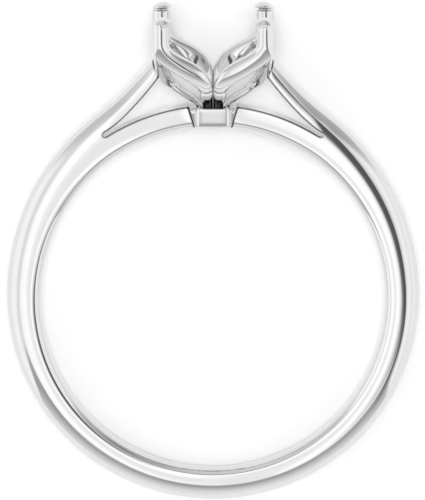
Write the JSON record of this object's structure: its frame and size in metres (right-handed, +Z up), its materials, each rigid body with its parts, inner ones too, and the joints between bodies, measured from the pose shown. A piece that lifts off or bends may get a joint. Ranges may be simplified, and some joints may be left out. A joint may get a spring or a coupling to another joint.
{
  "type": "solitaire engagement ring mounting",
  "caption": "Polished white gold solitaire engagement ring mounting with cathedral shoulders and a petal head for an oval stone, with no stone set.",
  "frame": {"origin": "centre of the ring's box on the floor it lies on", "axes": "+Z up from the floor, +Y from the finger hole towards the head, +X across the band"},
  "size_m": [0.0208, 0.025, 0.0077],
  "materials": {
    "white_gold": "polished"
  },
  "bodies": {
    "root": {"shank": "white_gold", "head": "white_gold"}
  },
  "joints": []
}
